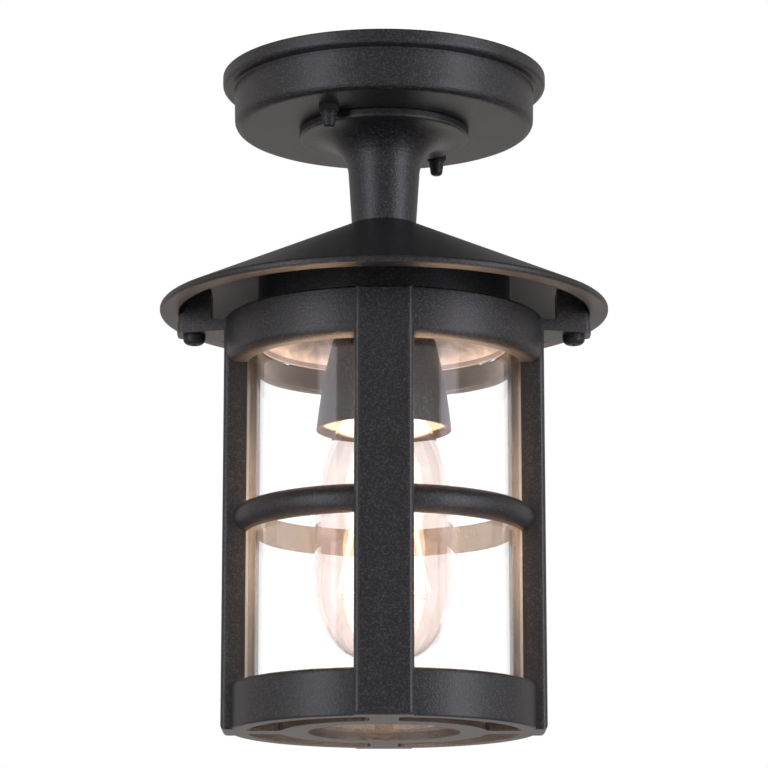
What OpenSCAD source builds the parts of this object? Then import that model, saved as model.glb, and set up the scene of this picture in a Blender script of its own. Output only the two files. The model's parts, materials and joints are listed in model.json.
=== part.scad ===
// Porch ceiling lantern. A cast canopy hangs from a steel strap on two studs with cap
// nuts. A flanged stem carries a conical roof, and two screws hold a cast cage with a
// clear glass cylinder under it, round a pear lamp in a screw lampholder.
// Millimetres. Origin at the centre of the ceiling face, +Z up, front towards -Y.

/* [Canopy] */
// Radius of the canopy's rim
rim_r = 70.2; // [68:0.1:72]
// Height of the rim
rim_h = 6.2; // [6:0.1:7]
// Radius of the drum under the rim
drum_r = 65.2; // [64:0.1:66]
// Height of the whole canopy
canopy_h = 24; // [24:0.5:28]
// Wall of the canopy casting
canopy_wall = 2.8; // [2:0.1:3]

/* [Stem] */
// Radius of the stem's flange
flange_r = 36.8; // [34:0.1:40]
// Thickness of the flange
flange_t = 4; // [3.5:0.1:5]
// Radius of the sweep from the flange into the stem
sweep_r = 17; // [14:0.5:17]
// Stem radius just under the sweep
stem_top_r = 15.3; // [14.5:0.1:17]
// Stem radius at the roof
stem_end_r = 13.9; // [13:0.1:14]
// Length of the stem from the canopy to the roof
stem_l = 42.5; // [42:0.5:60]

/* [Roof] */
// Radius of the roof's rim
roof_r = 96.3; // [94:0.1:98]
// Fall of the cone for each millimetre outwards
roof_slope = 0.449; // [0.42:0.001:0.47]
// Height of the rim's rounded edge
lip_h = 3.2; // [3:0.1:4]
// Width of the flat under the rim
lip_w = 8.5; // [7:0.1:10]
// Outer radius of the collar that goes down into the cage
collar_r = 54.1; // [52:0.1:54.3]

/* [Cage] */
// Distance from the roof's rim down to the cage's top
cage_drop = 2.8; // [2:0.1:4]
// Height of the cage
cage_h = 176.4; // [170:0.1:190]
// Radius over the top ring and the flats of the struts
cage_r = 68.2; // [67:0.1:70]
// Radius inside the rings
cage_in_r = 59; // [58.9:0.1:59.5]
// Height of the top ring
top_ring_h = 20.1; // [15:0.1:25]
// Radius over the middle and lower rings
low_ring_r = 64.9; // [64.5:0.1:66]
// Height of the middle ring
mid_ring_h = 12; // [10:0.5:13]
// Distance from the cage's top to the middle of the middle ring
mid_ring_drop = 86.9; // [70:0.1:100]
// Height of the lower ring
low_ring_h = 19.8; // [15:0.1:25]
// Width of a strut
strut_w = 24.5; // [20:0.5:26]
// Thickness of the cage's floor
floor_t = 3.5; // [3:0.1:4]
// Radius of the hole that the lamp is changed through
lamp_hole_r = 32.1; // [31.5:0.1:34]
// Radius over the ring round that hole
hub_r = 43.5; // [42:0.1:46]
// Radius to the outer ends of the floor's slots
slot_r = 57.9; // [56:0.1:58]
// Width of a spoke
spoke_w = 12; // [10:0.5:14]

/* [Glass] */
// Outer radius of the glass cylinder
glass_r = 57.6; // [57:0.1:57.8]
// Thickness of the glass
glass_t = 3; // [2.5:0.1:3]

/* [Lamp] */
// Largest radius of the lamp's envelope
bulb_r = 29.5; // [28:0.1:30]
// Length of the lamp from its contact to its tip
bulb_l = 134; // [130:1:136]
// Radius of the lampholder shade's mouth
shade_r = 28.9; // [28:0.1:30]
// Length of the lampholder shade
shade_l = 39; // [36:0.5:40]

/* [Fasteners] */
// Distance of the ceiling studs from the centre
stud_d = 44.5; // [43:0.1:46]
// Angle of the line of studs from the X axis
stud_a = 58.3; // [50:0.1:65]
// Distance of the cage screws from the centre
cage_screw_d = 81.5; // [80:0.1:82]

/* [Hidden] */
$fn = 128;

cast_black = "#2a2a2c";
zinc = "#b9bcc0";
brass = "#c9a04a";
nickel = "#cfcfca";
rubber = "#1c1c1c";
silicone = "#d8d2c8";
porcelain = "#efece4";
nylon = "#e8e6df";
clear_glass = [0.8, 0.9, 0.95, 0.35];
glow = "#ffb347";

// Levels, down from the ceiling
canopy_z = -canopy_h;
roof_z = canopy_z - stem_l;
lip_z = roof_z - (roof_r - stem_end_r) * roof_slope - lip_h;
cage_top = lip_z - cage_drop;
cage_base = cage_top - cage_h;
lug_top = cage_top - 0.9;
lug_t = 5;
plate_z = cage_top - 6.1;
plate_t = 2.5;
plate_under = plate_z - plate_t;
gasket_t = 2;
glass_top = plate_under - gasket_t;
pad_t = 1.8;
glass_base = cage_base + floor_t + pad_t;
bulb_tip = plate_under - 4 - bulb_l;

// Roof shell
roof_t = 3.2;
collar_t = 2.6;
boss_in = 74;
boss_out = 88.3;
boss_w = 17;
boss_end_w = 11.4;
lug_out = 88.7;
lug_w = 24.6;
lug_end_w = 13.2;
corner_r = 3;

// Clearance round a screw that passes through, and play of a shank in its own hole
play = 0.05;
pass = 0.4;

m4 = 2;
m5 = 2.5;
m3 = 1.5;
m10 = 5;

function arc(c, r, a0, a1, n = 6) =
    [for (i = [0:n]) let (a = a0 + (a1 - a0) * i / n) c + r * [cos(a), sin(a)]];
function roof_top(r) = roof_z - (r - stem_end_r) * roof_slope;
function roof_under(r) = roof_top(r) - roof_t;

module revolve(profile) rotate_extrude() polygon(profile);

// A plain ring, washer or tube between two radii, from z upwards
module ring(r_out, r_in, z, h)
    translate([0, 0, z]) difference() {
        cylinder(r = r_out, h = h);
        translate([0, 0, -1]) cylinder(r = r_in, h = h + 2);
    }

// A hexagon nut with turned corners, from z upwards
module hex_nut(flats, h, bore, z) {
    r = flats / 2 / cos(30);
    c = r - flats / 2;
    translate([0, 0, z]) difference() {
        intersection() {
            cylinder(r = r, h = h, $fn = 6);
            revolve([[0, 0], [flats / 2, 0], [r, c / 2], [r, h - c / 2], [flats / 2, h], [0, h]]);
        }
        translate([0, 0, -1]) cylinder(r = bore, h = h + 2);
    }
}

// A pan head screw whose head hangs under z and whose shank goes up, cross recess below
module pan_screw(head_r, head_h, shank_r, shank_l, z, turn = 0) {
    recess = head_r * 1.3;
    crown = head_h * 0.65;
    difference() {
        revolve(concat([[0, z + shank_l], [shank_r - 0.4, z + shank_l], [shank_r, z + shank_l - 0.4],
            [shank_r, z], [head_r, z]], arc([head_r - crown, z - head_h + crown], crown, 0, -90),
            [[0, z - head_h]]));
        for (a = [0, 90])
            rotate(a + turn) translate([-recess / 2, -head_r * 0.09, z - head_h - 1])
                cube([recess, head_r * 0.18, 1 + head_h * 0.5]);
    }
}

// Unit vector, and a sweep of a round section along points with a frame that doesn't twist
function unit(v) = v / norm(v);
function along(p, i) =
    i == 0 ? unit(p[1] - p[0]) :
    i == len(p) - 1 ? unit(p[i] - p[i - 1]) : unit(unit(p[i + 1] - p[i]) + unit(p[i] - p[i - 1]));
function square_to(v, t) = unit(v - (v * t) * t);
function frames(p, i, v) =
    i == len(p) ? [] :
    let (t = along(p, i), w = square_to(v, t)) concat([[w, cross(t, w)]], frames(p, i + 1, w));
function spline_at(a, b, c, d, t) =
    0.5 * (2 * b + (c - a) * t + (2 * a - 5 * b + 4 * c - d) * t * t
        + (3 * b - a - 3 * c + d) * t * t * t);
function smooth(p, n) = concat(
    [for (i = [0:len(p) - 2]) for (k = [0:n - 1])
        spline_at(p[max(i - 1, 0)], p[i], p[i + 1], p[min(i + 2, len(p) - 1)], k / n)],
    [p[len(p) - 1]]);

module tube(p, r, sides) {
    f = frames(p, 0, abs(along(p, 0)[2]) > 0.9 ? [1, 0, 0] : [0, 0, 1]);
    last = (len(p) - 1) * sides;
    points = [for (i = [0:len(p) - 1]) for (s = [0:sides - 1])
        let (a = 360 * s / sides) p[i] + r * (cos(a) * f[i][0] + sin(a) * f[i][1])];
    walls = [for (i = [0:len(p) - 2]) for (s = [0:sides - 1])
        let (a = i * sides + s, b = i * sides + (s + 1) % sides)
            each [[a, b, b + sides], [a, b + sides, a + sides]]];
    caps = [[for (s = [0:sides - 1]) sides - 1 - s], [for (s = [0:sides - 1]) last + s]];
    polyhedron([for (q = points) q], [for (w = concat(walls, caps)) [for (k = [len(w) - 1:-1:0]) w[k]]]);
}

// ---------------------------------------------------------------- ceiling bracket
strap_w = 20;
strap_t = 1.8;
strap_l = 112;
strap_step = 3.2;
flat_l = 35;
slope_l = 3;
fixing_d = 30;
fixing_r = 2.5;
cable_r = 6.5;
strap_slot_d = 18;
strap_slot_l = 9;
strap_slot_w = 4.6;
stud_end = -31.5;
stud_head_r = 3.6;
stud_head_h = 2.5;

module at_studs() rotate(stud_a) for (s = [-1, 1]) translate([s * stud_d, 0, 0]) children();

// Side view of the strap from its middle to one end, upper then lower face
bend = 0.8;
strap_side = [[flat_l, 0], [flat_l + slope_l, -strap_step], [strap_l / 2, -strap_step],
    [strap_l / 2, -strap_step - strap_t], [flat_l + slope_l - bend, -strap_step - strap_t],
    [flat_l - bend, -strap_t]];
function mirrored(p) = [for (i = [len(p) - 1:-1:0]) [-p[i][0], p[i][1]]];

module ceiling_bracket() color(zinc) difference() {
    intersection() {
        rotate(stud_a) rotate([90, 0, 0]) linear_extrude(strap_w, center = true)
            polygon(concat(strap_side, mirrored(strap_side)));
        rotate(stud_a) translate([0, 0, -20]) linear_extrude(30) union() {
            square([strap_l - strap_w, strap_w], center = true);
            for (s = [-1, 1]) translate([s * (strap_l - strap_w) / 2, 0]) circle(r = strap_w / 2);
        }
    }
    at_studs() translate([0, 0, -10]) cylinder(r = m4 + play, h = 20);
    rotate(stud_a) for (s = [-1, 1]) {
        translate([s * fixing_d, 0, -10]) cylinder(r = fixing_r, h = 20);
        for (e = [-1, 1]) translate([s * strap_slot_d + e * (strap_slot_l - strap_slot_w) / 2, 0, -10])
            cylinder(r = strap_slot_w / 2, h = 20);
        translate([s * strap_slot_d - (strap_slot_l - strap_slot_w) / 2, -strap_slot_w / 2, -10])
            cube([strap_slot_l - strap_slot_w, strap_slot_w, 20]);
    }
    translate([0, 0, -10]) cylinder(r = cable_r, h = 20);
}

// Machine screws that point down through the strap
module bracket_studs() color(zinc) at_studs() {
    revolve(concat([[0, -strap_step + stud_head_h], [stud_head_r - 0.8, -strap_step + stud_head_h]],
        [[stud_head_r, -strap_step + stud_head_h - 0.8], [stud_head_r, -strap_step], [m4, -strap_step],
        [m4, stud_end + 0.6], [m4 - 0.6, stud_end], [0, stud_end]]));
}

module stud_locknuts() color(zinc)
    at_studs() hex_nut(7, 3.2, m4 + play, -strap_step - strap_t - 3.2);

// ---------------------------------------------------------------- canopy
rim_wall = 2.6;
drum_fillet = 4;
wire_side_a = stud_a + 90;
block_d = 32;
earth_d = -34;
block_boss_h = 2;
earth_boss_h = 3;
canopy_floor = canopy_z + canopy_wall + 0.2;

module canopy() color(cast_black) difference() {
    union() {
        revolve(concat(
            [[rim_r - rim_wall, 0]],
            arc([rim_r - 0.6, -0.6], 0.6, 90, 0, 3),
            arc([rim_r - 2.2, 2.2 - rim_h], 2.2, 0, -90),
            arc([drum_r + 0.8, -rim_h - 0.8], 0.8, 90, 180, 4),
            arc([drum_r - 0.3 - drum_fillet, canopy_z + drum_fillet], drum_fillet, 0, -90),
            [[m10 + 0.2, canopy_z], [m10 + 0.2, canopy_floor]],
            arc([drum_r - canopy_wall - 3, canopy_floor + 3], 3, -90, 0, 4),
            [[drum_r - canopy_wall, rim_wall - rim_h], [rim_r - rim_wall - 0.8, rim_wall - rim_h],
            [rim_r - rim_wall, rim_wall - rim_h + 0.8]]));
        rotate(wire_side_a) {
            translate([block_d, 0, canopy_floor - 1]) cylinder(r = 4, h = block_boss_h + 1);
            translate([earth_d, 0, canopy_floor - 1]) cylinder(r = 4.5, h = earth_boss_h + 1);
        }
    }
    at_studs() translate([0, 0, canopy_z - 1]) cylinder(r = m4 + pass, h = 10);
    rotate(wire_side_a) {
        translate([block_d, 0, canopy_z + 1.2]) cylinder(r = m3 + play, h = 10);
        translate([earth_d, 0, canopy_z + 1.2]) cylinder(r = m4 + play, h = 10);
    }
}

cap_washer_r = 4.3;
cap_washer_t = 2.4;
cap_nut_r = 3.5;
cap_nut_h = 7;

module cap_washer(s) color(rubber) rotate(stud_a) translate([s * stud_d, 0, 0])
    difference() {
        revolve(concat([[0, canopy_z]], [[cap_washer_r, canopy_z]],
            arc([cap_washer_r - 0.6, canopy_z - cap_washer_t + 0.6], 0.6, 0, -90, 3),
            [[0, canopy_z - cap_washer_t]]));
        translate([0, 0, canopy_z - 5]) cylinder(r = m4 + pass, h = 10);
    }

// A closed, tapering nut with a shoulder against its washer and a domed end
module cap_nut(s) color(cast_black) rotate(stud_a)
    translate([s * stud_d, 0, canopy_z - cap_washer_t]) difference() {
        revolve(concat([[0, 0], [cap_nut_r, 0], [cap_nut_r, -0.9], [cap_nut_r - 0.25, -1.2]],
            arc([cap_nut_r - 2.4, 1.6 - cap_nut_h], 1.6, 0, -90, 5), [[0, -cap_nut_h]]));
        translate([0, 0, 1.4 - cap_nut_h]) cylinder(r = m4 + play, h = cap_nut_h);
    }

// ---------------------------------------------------------------- wiring in the canopy
pole_pitch = 9.5;
poles = [-0.5, 0.5, 1.5];
block_x = 16;
block_base = canopy_floor + block_boss_h;
block_h = 7;
tower_h = 3.5;
tower_r = 3.2;
tower_x = 4.2;
wire_bore_z = block_base + 3.5;
block_head_r = 2.6;

module terminal_block() color(nylon) rotate(wire_side_a) translate([block_d, 0, 0])
    difference() {
        union() {
            for (k = poles) {
                translate([-block_x / 2, k * pole_pitch - 4.3, block_base]) cube([block_x, 8.6, block_h]);
                for (s = [-1, 1]) translate([s * tower_x, k * pole_pitch, block_base])
                    cylinder(r = tower_r, h = block_h + tower_h, $fn = 32);
            }
            translate([-2.4, -pole_pitch / 2, block_base]) cube([4.8, 2 * pole_pitch, block_h - 1]);
        }
        for (k = poles) {
            translate([-block_x, k * pole_pitch, wire_bore_z]) rotate([0, 90, 0])
                cylinder(r = 1.6, h = 2 * block_x, $fn = 32);
            for (s = [-1, 1]) translate([s * tower_x, k * pole_pitch, wire_bore_z])
                cylinder(r = m3 + play, h = 20, $fn = 32);
        }
        translate([0, 0, block_base - 1]) cylinder(r = m3 + play, h = 20, $fn = 32);
        translate([0, 0, block_base + block_h - 1]) cylinder(r = block_head_r + pass, h = 20, $fn = 32);
    }

module terminal_screws() color(brass) rotate(wire_side_a) translate([block_d, 0, 0])
    for (k = poles) for (s = [-1, 1]) translate([s * tower_x, k * pole_pitch, wire_bore_z + 1.8])
        difference() {
            cylinder(r = m3, h = 5.4, $fn = 32);
            translate([-2, -0.3, 4.6]) cube([4, 0.6, 2]);
        }

module block_screw() color(zinc) rotate(wire_side_a) translate([block_d, 0, 0])
    translate([0, 0, 2 * (block_base + block_h - 1)]) mirror([0, 0, 1])
        pan_screw(block_head_r, 2, m3, 9.5, block_base + block_h - 1);

module earth_screw() color(brass) rotate(wire_side_a) translate([earth_d, 0, 0])
    translate([0, 0, 2 * (canopy_floor + earth_boss_h + 0.8)]) mirror([0, 0, 1])
        pan_screw(3.6, 2.6, m4, 5, canopy_floor + earth_boss_h + 0.8);

module earth_washer() color(brass) rotate(wire_side_a) translate([earth_d, 0, 0])
    ring(4.4, m4 + pass, canopy_floor + earth_boss_h, 0.8);

// The leads' route, from the block's inner face over the nipple and down into the lampholder
lead_r = 1.2;
function lead_route(s) = [[27, s * 4.75, wire_bore_z], [21, s * 4.5, wire_bore_z],
    [12, s * 3, -11.5], [6, s * 2.1, -9], [1.6, s * 1.9, -10], [0, s * 1.9, -16], [0, s * 1.9, -50],
    [0, s * 1.9, -84], [0, s * 2.2, -94], [0, s * 3, -104]];

module lead(s) rotate(wire_side_a) tube(smooth(lead_route(s), 3), lead_r, 8);
module lead_live() color("saddlebrown") lead(1);
module lead_neutral() color("royalblue") lead(-1);

// ---------------------------------------------------------------- stem
spigot_r = 9;
spigot_l = 2.5;
core_r = 10.5;
gasket_in = 20;
gasket_out = 27;
gasket_recess = 1.2;
nipple_in = 3.7;
nipple_top = canopy_floor + 7.5;
roof_nut_face = roof_z - 11.5;
nipple_washer_t = 1.2;
nipple_nut_h = 4;

module stem() color(cast_black) revolve(concat(
    [[core_r, canopy_z], [gasket_in, canopy_z], [gasket_in, canopy_z - gasket_recess],
    [gasket_out, canopy_z - gasket_recess], [gasket_out, canopy_z]],
    arc([flange_r - 0.6, canopy_z - 0.6], 0.6, 90, 0, 3),
    arc([flange_r - 1.2, canopy_z - flange_t + 1.2], 1.2, 0, -90, 4),
    arc([stem_top_r + sweep_r, canopy_z - flange_t - sweep_r], sweep_r, 90, 180, 14),
    [[stem_end_r, roof_z], [spigot_r, roof_z], [spigot_r, roof_z - spigot_l],
    [m10 + 0.2, roof_z - spigot_l], [m10 + 0.2, roof_z + 6], [core_r, roof_z + 8]]));

module stem_gasket() color(rubber)
    ring(gasket_out - 0.2, gasket_in + 0.2, canopy_z - gasket_recess, gasket_recess);

module nipple() color(zinc) ring(m10, nipple_in, roof_nut_face - 7, nipple_top - roof_nut_face + 7);

module nipple_washers() color(zinc) {
    ring(9, m10 + 0.2, canopy_floor, nipple_washer_t);
    ring(9, m10 + 0.2, roof_nut_face - nipple_washer_t, nipple_washer_t);
}

module nipple_nuts() color(zinc) {
    hex_nut(14, nipple_nut_h, m10 + play, canopy_floor + nipple_washer_t);
    hex_nut(14, nipple_nut_h, m10 + play, roof_nut_face - nipple_washer_t - nipple_nut_h);
}

// ---------------------------------------------------------------- roof
plate_screw_d = 48;
plate_screw_a = [90, 210, 330];
lip_round = 1.3;
crown_r = 16;

// All that lies under the middle of the roof's sheet, to trim bosses to the cone
module under_cone() revolve([[0, roof_top(0) - 1.5], [roof_r, roof_top(roof_r) - 1.5],
    [roof_r, plate_z - 20], [0, plate_z - 20]]);

// Plan of a screw lug from radius x0 to x1, which narrows from w0 to w1 and has round corners
module lug_plan(x0, x1, w0, w1) {
    lean = atan((w0 - w1) / 2 / (x1 - x0));
    corner = [x1 - corner_r, w1 / 2 - corner_r];
    polygon(concat([[x0, -w0 / 2]], arc([corner[0], -corner[1]], corner_r, lean - 90, 0, 6),
        arc(corner, corner_r, 0, 90 - lean, 6), [[x0, w0 / 2]]));
}

module roof() color(cast_black) difference() {
    union() {
        revolve(concat(
            [[spigot_r + 0.2, roof_z], [stem_end_r + 0.1, roof_z]],
            arc([roof_r - lip_round, lip_z + lip_h - lip_round], lip_round, 66, 0, 4),
            arc([roof_r - lip_round, lip_z + lip_round], lip_round, 0, -90, 4),
            arc([roof_r - lip_w + 0.8, lip_z + 0.8], 0.8, -90, -180, 3),
            [[roof_r - lip_w, roof_under(roof_r - lip_w)], [collar_r, roof_under(collar_r)],
            [collar_r, plate_z], [collar_r - collar_t, plate_z],
            [collar_r - collar_t, roof_under(collar_r - collar_t)],
            [crown_r + 1, roof_under(crown_r + 1)], [crown_r, roof_nut_face],
            [m10 + 0.2, roof_nut_face], [m10 + 0.2, roof_z - spigot_l - 0.2],
            [spigot_r + 0.2, roof_z - spigot_l - 0.2]]));
        intersection() {
            under_cone();
            union() {
                for (a = [0, 180]) rotate(a) translate([0, 0, lug_top]) linear_extrude(30)
                    lug_plan(boss_in, boss_out, boss_w, boss_end_w);
                for (a = plate_screw_a) rotate(a) translate([plate_screw_d, 0, plate_z])
                    cylinder(r = 4.4, h = 40);
            }
        }
    }
    for (a = [0, 180]) rotate(a) translate([cage_screw_d, 0, lug_top - 1])
        cylinder(r = m5 + play, h = 10.3);
    for (a = plate_screw_a) rotate(a) translate([plate_screw_d, 0, plate_z - 1])
        cylinder(r = m4 + play, h = 12);
}

// ---------------------------------------------------------------- lamp plate and shade
plate_r = 57.8;
holder_r = 18.5;
holder_pass = 0.3;
shade_top_r = 22;
shade_t = 1.2;
shade_bow = 0.8;

module lamp_plate() color(cast_black) difference() {
    revolve([[holder_r + holder_pass, plate_z], [plate_r, plate_z], [plate_r, plate_under],
        [holder_r + holder_pass, plate_under]]);
    for (a = plate_screw_a) rotate(a) translate([plate_screw_d, 0, plate_under - 1])
        cylinder(r = m4 + pass, h = 10);
}

module plate_screws() color(zinc) for (a = plate_screw_a) rotate(a)
    translate([plate_screw_d, 0, 0]) pan_screw(3.6, 2.4, m4, 12, plate_under);

module glass_gasket() color(silicone) ring(glass_r, glass_r - glass_t - 0.6, glass_top, gasket_t);

// The shade's wall, a cone with a slight belly, offset inwards by t
function shade_wall(t) = [for (i = [0:10]) let (k = i / 10)
    [shade_top_r + (shade_r - shade_top_r) * k + shade_bow * sin(180 * k) - t,
        plate_under - shade_l * k]];
function reversed(p) = [for (i = [len(p) - 1:-1:0]) p[i]];

module shade() color(cast_black) revolve(concat(
    [[holder_r + holder_pass, plate_under]], shade_wall(0),
    [for (p = reversed(shade_wall(shade_t))) if (p[1] < plate_under - shade_t) p],
    [[shade_top_r - 1, plate_under - shade_t], [holder_r + holder_pass, plate_under - shade_t]]));

module shade_ring() color(porcelain)
    ring(holder_r + 1.9, holder_r + play, plate_under - shade_t - 4, 4);

// ---------------------------------------------------------------- lampholder
holder_top = plate_z + 15.5;
holder_base = plate_under - 28;
socket_r = 14.4;
socket_top = plate_under - 1;
shell_r = 14.3;
shell_in = 13.4;

module lampholder_body() color(porcelain) revolve([[6, holder_top], [15, holder_top],
    [17, holder_top - 2], [17, plate_z + 4], [21, plate_z + 3], [21, plate_z], [holder_r, plate_z],
    [holder_r, holder_base + 1.5], [holder_r - 1.5, holder_base], [socket_r, holder_base],
    [socket_r, socket_top], [0, socket_top], [0, holder_top - 7], [6, holder_top - 7]]);

module lampholder_shell() color(nickel) ring(shell_r, shell_in, holder_base + 1, 24);

module lampholder_contact() color(brass) revolve([[0, socket_top], [6, socket_top],
    [6, socket_top - 0.8], [4, socket_top - 1.6], [3, socket_top - 2.9], [0, socket_top - 2.9]]);

// ---------------------------------------------------------------- lamp
contact_z = plate_under - 4;
cap_r = 13.2;
cap_top = contact_z - 1.6;
cap_base = contact_z - 26.3;
neck_z = cap_base - 0.9;
neck_r = 15;
belly_z = bulb_tip + 34;
wall_t = 0.8;
dome_n = 2.5;

// Radius of the envelope at height z: a shoulder under the neck and a full round end
function bulb_profile(z, t) =
    z > belly_z ? neck_r + (bulb_r - neck_r) * (1 - pow(1 - (neck_z - z) / (neck_z - belly_z), 4)) - t
    : (bulb_r - t) * pow(max(0, 1 - pow((belly_z - z) / (belly_z - bulb_tip - t), dome_n)), 1 / dome_n);
function bulb_side(t) = concat(
    [for (i = [0:18]) let (z = neck_z + (belly_z - neck_z) * pow(i / 18, 1.3)) [bulb_profile(z, t), z]],
    [for (i = [1:15]) let (z = belly_z - (belly_z - bulb_tip - t) * sin(90 * i / 15))
        [i == 15 ? 0 : bulb_profile(z, t), z]]);

module bulb_glass() color(clear_glass) revolve(concat(
    [[12.2, cap_base + 6], [12.2, cap_base + 0.4], [13.6, cap_base]], bulb_side(0),
    reversed(bulb_side(wall_t)), [[11.4, cap_base + 0.4], [11.4, cap_base + 6]]));

module bulb_cap() color(nickel) revolve([[9, cap_top], [cap_r - 2, cap_top - 2],
    [cap_r, cap_top - 4.2], [cap_r, cap_base + 1.6], [cap_r + 0.7, cap_base + 1.2],
    [cap_r + 0.7, cap_base + 0.4], [12.8, cap_base + 0.4], [12.8, cap_top - 4.4], [9, cap_top - 0.8]]);

module bulb_insulator() color("#222222") revolve([[4.8, cap_top + 0.4], [9, cap_top],
    [9, cap_top - 0.8], [9, cap_top - 3], [4.8, cap_top - 3]]);

module bulb_contact() color(zinc) revolve(concat([[0, cap_top - 1], [4.8, cap_top - 1],
    [4.8, cap_top + 0.4]], arc([0, contact_z - 8], 8, 65, 90, 4)));

mount_z = cap_base - 18;
hook_top = cap_base - 24;
hook_base = bulb_tip + 28;
hook_top_r = 9;
hook_base_r = 21;
hairpins = 8;

module bulb_stem() color(clear_glass) revolve([[0, cap_base + 4], [11.3, cap_base + 4],
    [11.3, cap_base + 2], [8, cap_base - 4], [4, mount_z], [1.8, mount_z - 2],
    [1.8, hook_top + 1.4], [2.8, hook_top + 0.8], [2.8, hook_top - 0.8], [1.8, hook_top - 1.4],
    [1.8, hook_base + 1.4], [2.8, hook_base + 0.8], [2.8, hook_base - 0.8], [1.6, hook_base - 1.6],
    [0, hook_base - 1.6]]);

// Points of the filament, which runs up and down round the lamp's axis
function hook(i) = let (a = 180 / hairpins * i, top = i % 2 == 0)
    [(top ? hook_top_r : hook_base_r) * cos(a), (top ? hook_top_r : hook_base_r) * sin(a),
        top ? hook_top : hook_base];

module filament_supports() color(zinc) difference() {
    for (i = [0:2 * hairpins - 1]) translate([0, 0, hook(i)[2]]) rotate(180 / hairpins * i)
        rotate([0, 90, 0]) cylinder(r = 0.25, h = norm([hook(i)[0], hook(i)[1]]) - 0.5, $fn = 16);
    translate([0, 0, bulb_tip]) cylinder(r = 2.9, h = bulb_l);
}

module bulb_filament() color(glow) tube([for (i = [0:2 * hairpins - 1]) hook(i)], 0.4, 6);

// ---------------------------------------------------------------- cage
edge_r = 2.5;
flare_r = 2.6;
mid_z = cage_top - mid_ring_drop;
low_in_r = cage_in_r - 0.4;
strut_in = glass_r + 0.5;
ring_foot_r = 4.5;

module top_ring() revolve(concat([[cage_in_r, cage_top]],
    arc([cage_r - 1, cage_top - 1], 1, 90, 0, 3),
    arc([cage_r - ring_foot_r, cage_top - top_ring_h + ring_foot_r], ring_foot_r, 0, -90, 7),
    arc([cage_in_r + 1.2, cage_top - top_ring_h + 1.2], 1.2, -90, -180, 3)));

// Half round outside and flat against the glass
module mid_ring() rotate_extrude() intersection() {
    translate([low_ring_r - 0.2 - mid_ring_h / 2, mid_z]) circle(r = mid_ring_h / 2, $fn = 48);
    translate([cage_in_r, mid_z - mid_ring_h]) square([20, 2 * mid_ring_h]);
}

module low_ring() revolve(concat([[low_in_r, cage_base]],
    arc([low_ring_r - 1, cage_base + 1], 1, -90, 0, 3),
    arc([low_ring_r - 2, cage_base + low_ring_h - 2], 2, 0, 90, 4),
    [[low_in_r + 0.8, cage_base + low_ring_h], [low_in_r, cage_base + low_ring_h - 0.8]]));

// A flat bar with rounded long edges, hollowed at its top to the ring's radius
module strut() difference() {
    intersection() {
        translate([0, 0, cage_base]) linear_extrude(cage_h) polygon(concat(
            [[strut_in, -strut_w / 2]],
            arc([cage_r - edge_r, edge_r - strut_w / 2], edge_r, -90, 0, 5),
            arc([cage_r - edge_r, strut_w / 2 - edge_r], edge_r, 0, 90, 5),
            [[strut_in, strut_w / 2]]));
        rotate([90, 0, 0]) linear_extrude(strut_w + 2, center = true) polygon(concat(
            [[50, cage_top]], arc([cage_r - 1, cage_top - 1], 1, 90, 0, 3),
            arc([cage_r - 2, cage_base + 2], 2, 0, -90, 4), [[50, cage_base]]));
    }
    translate([0, 0, cage_top - top_ring_h]) cylinder(r = cage_in_r, h = top_ring_h + 1);
}

// The floor's spokes flare where they meet the hub and the outer ring
module spoke() {
    translate([hub_r - 3, -spoke_w / 2]) square([low_in_r - hub_r + 3.5, spoke_w]);
    for (s = [-1, 1]) {
        difference() {
            translate([hub_r - 2, s > 0 ? spoke_w / 2 : -spoke_w / 2 - flare_r])
                square([flare_r + 1.6, flare_r]);
            translate([hub_r - 0.4 + flare_r, s * (spoke_w / 2 + flare_r)]) circle(r = flare_r, $fn = 48);
        }
        difference() {
            translate([slot_r - 0.6 - flare_r, s > 0 ? spoke_w / 2 : -spoke_w / 2 - flare_r])
                square([flare_r + 1, flare_r]);
            translate([slot_r - 0.6 - flare_r, s * (spoke_w / 2 + flare_r)]) circle(r = flare_r, $fn = 48);
        }
    }
}

module floor_plan() difference() {
    union() {
        difference() {
            circle(r = low_in_r + 1);
            circle(r = slot_r);
        }
        circle(r = hub_r);
        for (a = [0:90:270]) rotate(a) spoke();
    }
    circle(r = lamp_hole_r);
}

module lug() translate([0, 0, lug_top - lug_t]) linear_extrude(lug_t) difference() {
    lug_plan(cage_r - 4, lug_out, lug_w, lug_end_w);
    translate([cage_screw_d, 0]) circle(r = m5 + play);
}

module cage() color(cast_black) union() {
    top_ring();
    mid_ring();
    low_ring();
    translate([0, 0, cage_base]) linear_extrude(floor_t) floor_plan();
    for (a = [0:90:270]) rotate(a) strut();
    for (a = [0, 180]) rotate(a) lug();
}

module glass_cylinder() color(clear_glass) revolve([[glass_r - glass_t, glass_top - 0.4],
    [glass_r - glass_t + 0.4, glass_top], [glass_r - 0.4, glass_top], [glass_r, glass_top - 0.4],
    [glass_r, glass_base + 0.4], [glass_r - 0.4, glass_base], [glass_r - glass_t + 0.4, glass_base],
    [glass_r - glass_t, glass_base + 0.4]]);

// Soft pads on the spokes, under the glass
module glass_pads() color(silicone) for (a = [0:90:270]) rotate(a)
    translate([0, 0, cage_base + floor_t]) linear_extrude(pad_t) intersection() {
        difference() {
            circle(r = glass_r + 0.3);
            circle(r = glass_r - glass_t - 1);
        }
        translate([0, -spoke_w / 2]) square([80, spoke_w]);
    }

module cage_screw(s) color(cast_black) translate([s * cage_screw_d, 0, 0])
    pan_screw(4.8, 4, m5, 13.5, lug_top - lug_t, s < 0 ? 28 : 4);

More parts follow.
